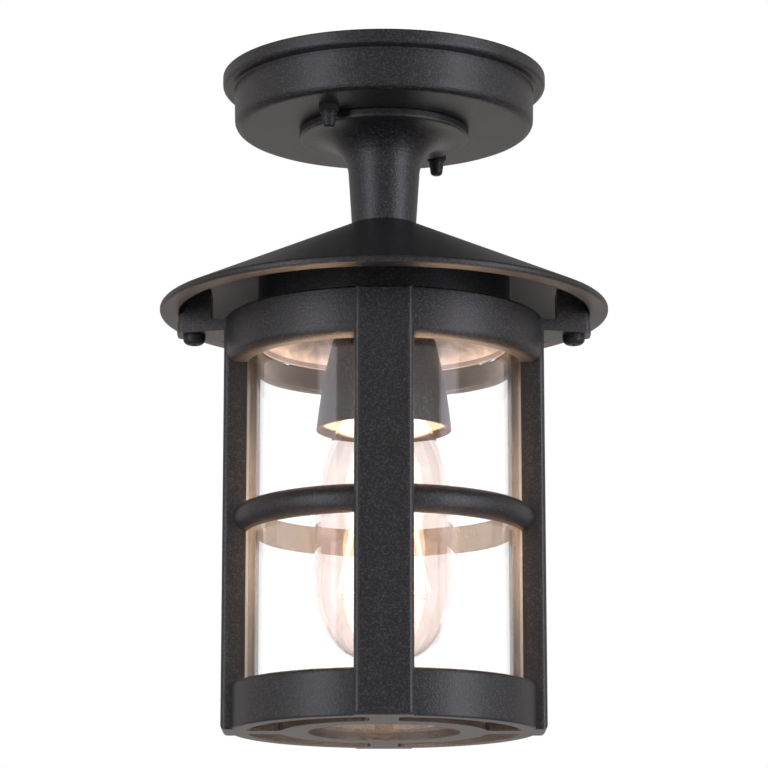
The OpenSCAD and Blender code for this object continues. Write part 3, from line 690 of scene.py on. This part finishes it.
def envelope():
    """Blown envelope, sealed into the cap at its neck."""
    tip, cap_foot = level("bulb_glass", 0), level("bulb_cap", 0) - 0.4 * MM
    neck, belly, wall = cap_foot - 0.9 * MM, tip + 34 * MM, 0.8 * MM
    shoulder, cap = 28, 24
    falls = [neck + (belly - neck) * (i / shoulder) ** 1.3 for i in range(shoulder + 1)]
    falls += [belly - (belly - tip) * math.sin(math.pi / 2 * i / cap) for i in range(1, cap + 1)]
    side = [(envelope_radius(height, neck, belly, tip), height) for height in falls]
    inner = [(max(0.0, radius - wall), max(height, tip + wall)) for radius, height in side]
    seal = [(12.2 * MM, cap_foot + 6 * MM), (12.2 * MM, cap_foot + 0.4 * MM), (13.6 * MM, cap_foot)]
    outline = seal + side + inner[::-1] + [(11.4 * MM, cap_foot + 0.4 * MM), (11.4 * MM, cap_foot + 6 * MM)]
    glass = turned("blown_envelope", outline, 144)
    fitted(glass, "lamp", "clear_glass", "lamp_glass", "bulb_glass")


def filament():
    """One fine wire that runs up and down between the supports."""
    low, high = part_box("bulb_filament")
    hooks, top_r, base_r, wire_r = 16, 9 * MM, 21 * MM, 0.10 * MM
    deselect()
    bpy.ops.curve.primitive_nurbs_path_add(location=(0, 0, 0))
    wire = bpy.context.object
    data = wire.data
    data.splines.clear()
    line = data.splines.new("POLY")
    line.points.add(hooks - 1)
    for i, point in enumerate(line.points):
        turn, top = math.pi * 2 * i / hooks, i % 2 == 0
        radius = top_r if top else base_r
        height = high.z - 0.4 * MM if top else low.z + 0.4 * MM
        point.co = (radius * math.cos(turn), radius * math.sin(turn), height, 1)
    data.bevel_depth, data.bevel_resolution, data.use_fill_caps = wire_r, 3, True
    bpy.ops.object.convert(target="MESH")
    wire = bpy.context.object
    wire.name = "filament_wire"
    bpy.ops.object.mode_set(mode="EDIT")
    fitted(sealed(wire), "lamp", "glowing_filament", "glowing_filament", "bulb_filament")


def glass_tube():
    """The drawn cylinder, with its two edges ground and arrised."""
    low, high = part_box("glass_cylinder")
    radius, wall, arris = high.x, 3 * MM, 0.4 * MM
    outline = []
    for x, z, across, up in ((radius, high.z, 1, 1), (radius, low.z, 1, -1), (radius - wall, low.z, -1, -1),
                             (radius - wall, high.z, -1, 1)):
        ends = [(x - across * arris, z), (x, z - up * arris)]
        outline += ends if across * up > 0 else ends[::-1]
    tube = turned("drawn_glass_tube", outline, 256)
    fitted(tube, "cage_assembly", "clear_glass", "clear_glass", "glass_cylinder")


# ------------------------------------------------------------------ threaded fasteners
# A cross recess: its width over the head's radius, and its wings' thickness, depth and taper
# over that width
RECESS_WIDTH = 1.15
WING_SHARE = 0.2
RECESS_DEPTH = 0.32
WING_TAPER = (0.35, 0.75, 1)


def cut_out(piece, tool):
    """Take a tool's shape out of a piece, and the tool away."""
    take(piece)
    cut = piece.modifiers.new("cut", "BOOLEAN")
    cut.operation, cut.object, cut.solver = "DIFFERENCE", tool, "EXACT"
    fix(piece, cut)
    bpy.data.objects.remove(tool)
    bpy.ops.object.shade_smooth_by_angle(angle=CREASE)


def cross_recess(head, face, inward, width):
    """Cut a cross with tapered wings into a head's face, inwards up (1) or down (-1)."""
    depth = RECESS_DEPTH * width
    for quarter in (0, 90):
        deselect()
        bpy.ops.mesh.primitive_cube_add(size=1, location=(0, 0, face))
        wing = bpy.context.object
        bpy.ops.transform.resize(value=(width, width * WING_SHARE, 2 * depth))
        bpy.ops.object.transform_apply(location=True, rotation=True, scale=True)
        pick(wing, "FACE", lambda at: (at.z - face) * inward > depth - FINE)
        bpy.ops.transform.resize(value=WING_TAPER)
        cut_out(head, moved(wing, (0, 0, 0), quarter))


def cage_screws():
    """Pan heads with their cross recess below, on threads that point upwards."""
    low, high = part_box("cage_screw_left")
    radius, height, shank = 4.8 * MM, 4 * MM, 2.5 * MM
    crown, under = 2.6 * MM, low.z + height
    neck = under + 1.2 * MM
    outline = [(0, neck), (shank - 0.35 * MM, neck), (shank, under), (radius, under)]
    outline += bow((radius - crown, low.z + crown), crown, 0, -90, 8) + [(0, low.z)]
    head = turned("head", outline, 64, closed=False)
    cross_recess(head, low.z, 1, radius * RECESS_WIDTH)
    ridge = sharp_profile(shank, shank - 0.45 * MM, 0.8 * MM)
    thread = threaded("thread", ridge, neck - 0.1 * MM, high.z, 32)
    first = joined("cage_fixing_left", [head, thread])
    second = copied(first, "cage_fixing_right")
    for screw, side, turn in ((first, "left", 28), (second, "right", 4)):
        node = "cage_screw_" + side
        low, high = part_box(node)
        moved(screw, ((low.x + high.x) / 2, 0, 0), turn)
        fitted(screw, side + "_screw", "black_screw", "black_screw", node)


def studs():
    """Machine screws down through the ceiling strap, threaded to their ends."""
    low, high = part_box("bracket_studs")
    head_r, head_h, shank, round_r = 3.6 * MM, 2.5 * MM, 2 * MM, 0.8 * MM
    reach = Vector((high.x - head_r, high.y - head_r, 0))
    seat = high.z - head_h
    neck = seat - 0.8 * MM
    outline = [(0, high.z)] + bow((head_r - round_r, high.z - round_r), round_r, 90, 0, 4)
    outline += [(head_r, seat), (shank, seat), (shank - 0.3 * MM, neck), (0, neck)]
    head = turned("head", outline, 48, closed=False)
    cross_recess(head, high.z, -1, head_r * RECESS_WIDTH)
    ridge = sharp_profile(shank, shank - 0.4 * MM, 0.7 * MM)
    thread = threaded("thread", ridge, low.z, neck + 0.1 * MM, 24)
    first = joined("threaded_studs", [head, thread])
    second = copied(first, "second_stud")
    pair = [moved(first, reach, 20), moved(second, -reach, -20)]
    fitted(joined("threaded_studs", pair), "ceiling_strap", "zinc_steel", "zinc_steel", "bracket_studs")


def nipple():
    """Threaded tube through canopy, stem and roof: the thread, and a plain bore inside it."""
    low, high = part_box("nipple")
    bore, radius = 3.7 * MM, 5 * MM
    thread = threaded("threaded_nipple", sharp_profile(radius, radius - 0.5 * MM, MM), low.z, high.z, 48)
    deselect()
    bpy.ops.mesh.primitive_cylinder_add(vertices=64, radius=bore, depth=2 * (high.z - low.z),
                                        location=(0, 0, (low.z + high.z) / 2))
    cut_out(thread, bpy.context.object)
    fitted(thread, "lantern_head", "zinc_steel", "zinc_steel", "nipple")


# ------------------------------------------------------------------ leads
LEAD_R = 1.2 * MM
LEAD_SIDES = 20
LEAD_CUTS = 100
LEAD_CREASE = math.radians(40)
# Turn of the wiring's side round the lantern, in degrees
WIRING_SIDE = 148.3
# Route from the terminal block, through the nipple and down to the lampholder, in mm
LEAD_ROUTE = ((27, 4.75, -15.5), (21, 4.5, -15.5), (12, 3, -11.5), (6, 2.1, -9), (1.6, 1.9, -10),
              (0, 1.9, -16), (0, 1.9, -50), (0, 1.9, -84), (0, 2.2, -94), (0, 3, -104))


def route(side):
    """The lead's middle line, as a curve through the route's points."""
    deselect()
    bpy.ops.curve.primitive_bezier_curve_add(location=(0, 0, 0))
    path = bpy.context.object
    path.data.splines.clear()
    line = path.data.splines.new("BEZIER")
    line.bezier_points.add(len(LEAD_ROUTE) - 1)
    turn = math.radians(WIRING_SIDE)
    for point, (x, y, z) in zip(line.bezier_points, LEAD_ROUTE):
        y *= side
        across = (x * math.cos(turn) - y * math.sin(turn), x * math.sin(turn) + y * math.cos(turn))
        point.co = (across[0] * MM, across[1] * MM, z * MM)
        point.handle_left_type = point.handle_right_type = "AUTO"
    line.resolution_u = 24
    return path, line.calc_length()


def lead(node, slot, side):
    """A sleeved wire: a long cylinder, finely cut along its length and bent to the route."""
    path, length = route(side)
    deselect()
    bpy.ops.mesh.primitive_cylinder_add(vertices=LEAD_SIDES, radius=LEAD_R, depth=length,
                                        location=(length / 2, 0, 0), rotation=(0, math.pi / 2, 0))
    wire = bpy.context.object
    wire.name = "sleeved_" + node
    bpy.ops.object.transform_apply(location=True, rotation=True, scale=True)
    wire.data.uv_layers[0].name = "weave"
    pick(wire, "EDGE", lambda at: FINE < at.x < length - FINE)
    bpy.ops.mesh.subdivide(number_cuts=LEAD_CUTS)
    take(wire)
    bend = wire.modifiers.new("route", "CURVE")
    bend.object, bend.deform_axis = path, "POS_X"
    fix(wire, bend)
    bpy.data.objects.remove(path)
    bpy.ops.object.shade_smooth_by_angle(angle=LEAD_CREASE)
    fitted(wire, "lantern_head", slot, slot, node)


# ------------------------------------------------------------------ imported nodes
OWN_FINISH = {
    "cage": "cage_black",
    "bulb_stem": "lamp_glass",
    "shade": "shade_black",
    "lamp_plate": "plate_grey",
}


def dress_nodes():
    """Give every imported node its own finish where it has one, or else its slot's."""
    slots = {row["node"]: row["material_slot"] for row in frame["record"]["subparts"]}
    for name, piece in frame["nodes"].items():
        finish = OWN_FINISH.get(name, slots[name])
        for material_slot in piece.material_slots:
            material_slot.material = FINISHES[finish]
        if not piece.material_slots:
            piece.data.materials.append(FINISHES[finish])


set_camera()
set_stage()
set_world()
set_lamps()
dress_nodes()
lamp_cap()
holder_shell()
envelope()
filament()
glass_tube()
cage_screws()
studs()
nipple()
lead("lead_live", "live_lead", 1)
lead("lead_neutral", "neutral_lead", -1)
deselect()
